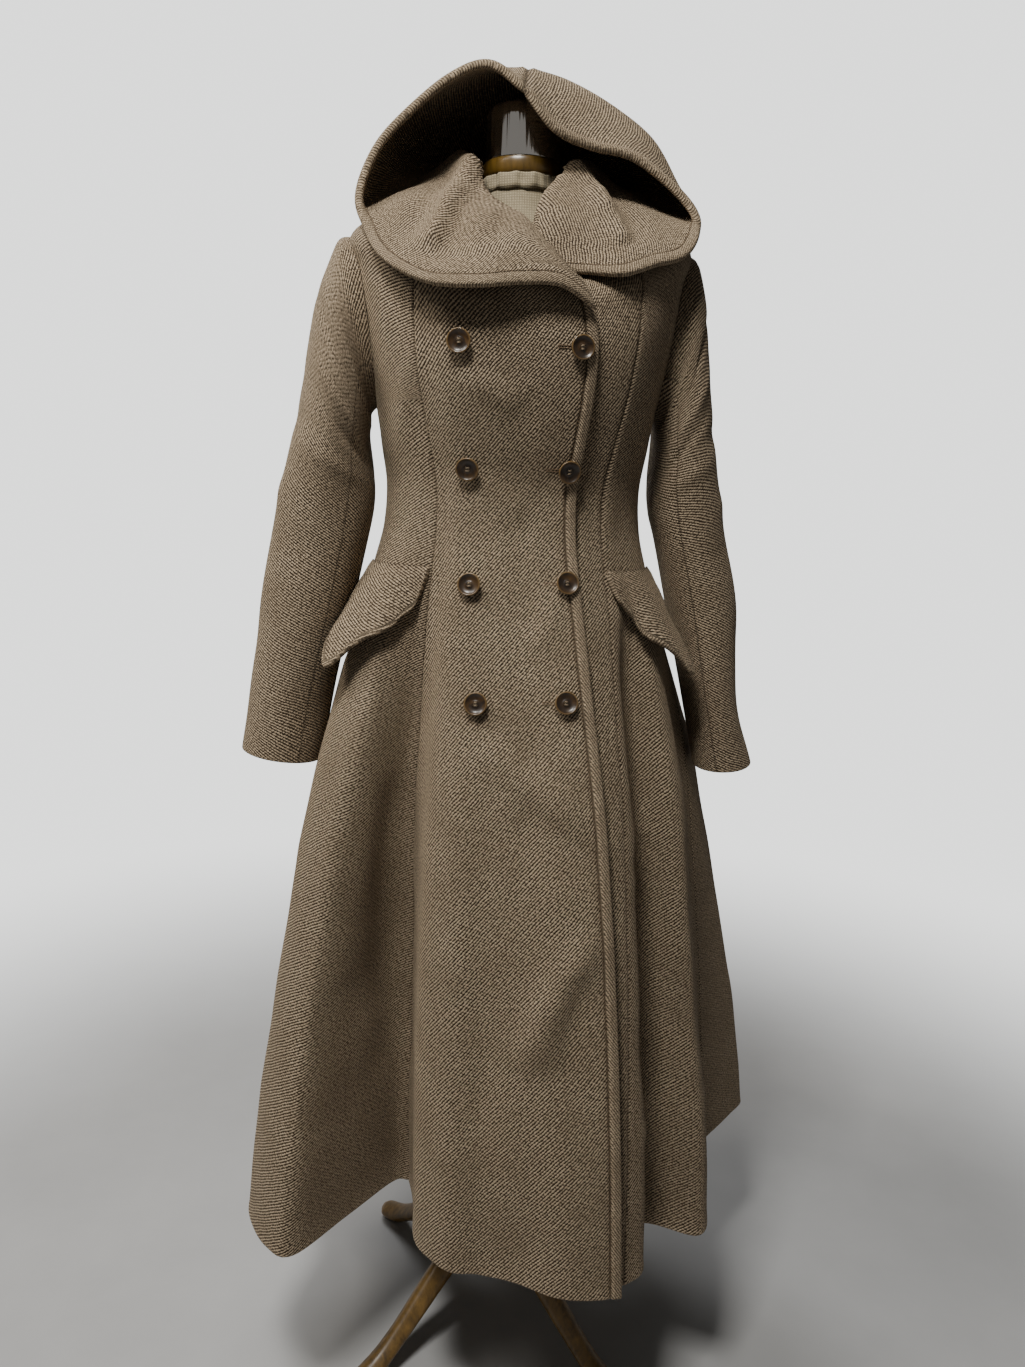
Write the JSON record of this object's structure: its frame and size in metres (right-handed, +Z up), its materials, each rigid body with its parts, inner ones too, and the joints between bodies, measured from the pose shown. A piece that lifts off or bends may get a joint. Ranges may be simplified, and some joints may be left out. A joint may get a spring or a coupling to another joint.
{
  "type": "hooded coat on a dress form with a wooden stand",
  "caption": "Long hooded wool-twill coat, double-breasted, with a flared skirt, wide sleeves and pointed pocket flaps, shown on a limbless dress form on a wooden stand.",
  "frame": {"origin": "floor level, under the middle of the whole part in plan, 23 mm towards the wearer's left of the stand's pole", "axes": "+Z up along the pole, -Y the way the front of the coat faces, +X towards the wearer's left, which is the right of the picture"},
  "size_m": [0.691, 0.5756, 1.5774],
  "materials": {
    "wool_twill": "soft brushed diagonal wool twill, light and dark brown yarns, matt",
    "horn_button": "polished dark brown horn, dished face",
    "linen_cover": "plain linen drawn over the form, slightly creased",
    "stained_wood": "stained and waxed, satin",
    "polished_cap": "mirror-polished metal"
  },
  "bodies": {
    "root": {"front_right_centre": "wool_twill", "front_left_centre": "wool_twill", "front_right_side": "wool_twill", "front_left_side": "wool_twill", "back_right_side": "wool_twill", "back_left_side": "wool_twill", "back_right_centre": "wool_twill", "back_left_centre": "wool_twill", "sleeve_right_upper": "wool_twill", "sleeve_right_under": "wool_twill", "sleeve_left_upper": "wool_twill", "sleeve_left_under": "wool_twill", "hood_right": "wool_twill", "hood_left": "wool_twill", "pocket_flap_right": "wool_twill", "pocket_flap_left": "wool_twill", "button_right_1": "horn_button", "button_right_2": "horn_button", "button_right_3": "horn_button", "button_right_4": "horn_button", "button_left_1": "horn_button", "button_left_2": "horn_button", "button_left_3": "horn_button", "button_left_4": "horn_button", "form_torso": "linen_cover", "form_neck_ring": "stained_wood", "form_neck_cap": "polished_cap", "stand_pole": "stained_wood", "stand_hub": "stained_wood", "stand_leg_front_left": "stained_wood", "stand_leg_front_right": "stained_wood", "stand_leg_back_right": "stained_wood", "stand_leg_back_left": "stained_wood"}
  },
  "joints": []
}
